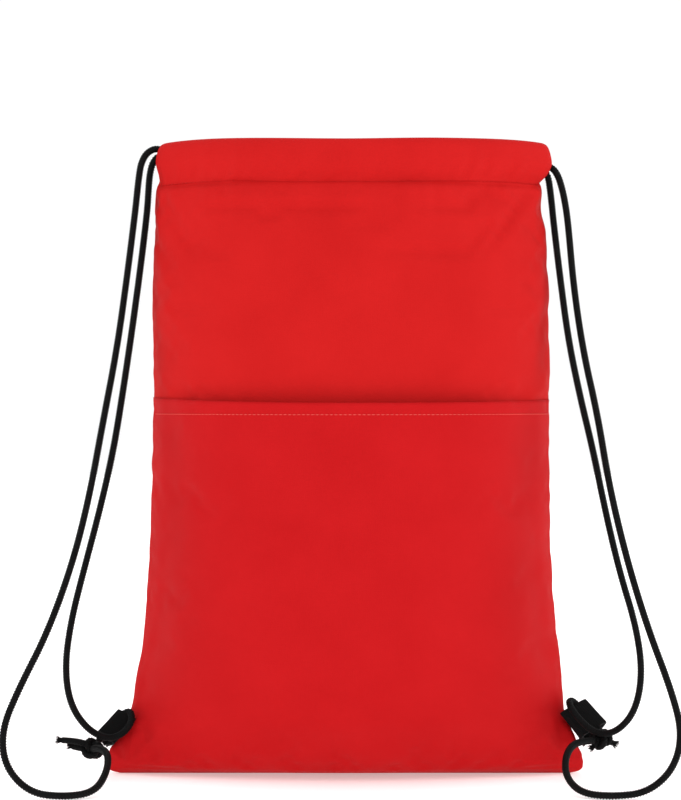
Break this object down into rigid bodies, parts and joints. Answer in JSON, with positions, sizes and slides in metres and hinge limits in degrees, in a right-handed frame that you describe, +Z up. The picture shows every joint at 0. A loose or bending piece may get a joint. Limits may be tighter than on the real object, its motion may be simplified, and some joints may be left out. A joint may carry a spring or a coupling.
{
  "type": "drawstring backpack",
  "caption": "Insulated drawstring backpack standing filled out, with a full-width slip pocket and knotted braided cords as shoulder straps.",
  "frame": {"origin": "on the ground under the middle of the bag", "axes": "+Z up to the mouth, -Y out of the pocket side, +X to the right of a person facing the pocket side"},
  "size_m": [0.4351, 0.1819, 0.427],
  "materials": {
    "red_shell": "satin",
    "pocket_cloth": "satin",
    "red_thread": "satin",
    "foam": "matte",
    "silver_lining": "satin metallised film",
    "seam_tape": "matte",
    "black_cord": "matte braid",
    "black_webbing": "matte weave",
    "black_thread": "matte"
  },
  "bodies": {
    "bag": {"front_panel": "red_shell", "back_panel": "red_shell", "front_foam": "foam", "back_foam": "foam", "front_lining": "silver_lining", "back_lining": "silver_lining", "front_channel": "red_shell", "back_channel": "red_shell", "front_channel_stitching": "red_thread", "back_channel_stitching": "red_thread", "front_pocket": "pocket_cloth", "pocket_hem": "pocket_cloth", "pocket_hem_stitching": "red_thread", "bottom_seam": "seam_tape", "left_side_seam": "seam_tape", "right_side_seam": "seam_tape", "left_channel_cord": "black_cord", "right_channel_cord": "black_cord"},
    "left_strap": {"left_tab": "black_webbing", "left_tab_stitching": "black_thread", "left_cord_outer": "black_cord", "left_cord_inner": "black_cord", "left_knot": "black_cord", "left_tail_long": "black_cord", "left_tail_short": "black_cord"},
    "right_strap": {"right_tab": "black_webbing", "right_tab_stitching": "black_thread", "right_cord_outer": "black_cord", "right_cord_inner": "black_cord", "right_knot": "black_cord", "right_tail_long": "black_cord", "right_tail_short": "black_cord"}
  },
  "joints": [
    {"name": "left_strap_swing", "type": "hinge", "parent": "bag", "child": "left_strap", "pos_m": [-0.1605, -0.0015, 0.027], "axis": [-0.0686, -0.0013, -0.9976], "range_deg": [0, 100]},
    {"name": "right_strap_swing", "type": "hinge", "parent": "bag", "child": "right_strap", "pos_m": [0.1555, -0.0015, 0.028], "axis": [-0.0447, -0.006, 0.999], "range_deg": [0, 100]}
  ]
}
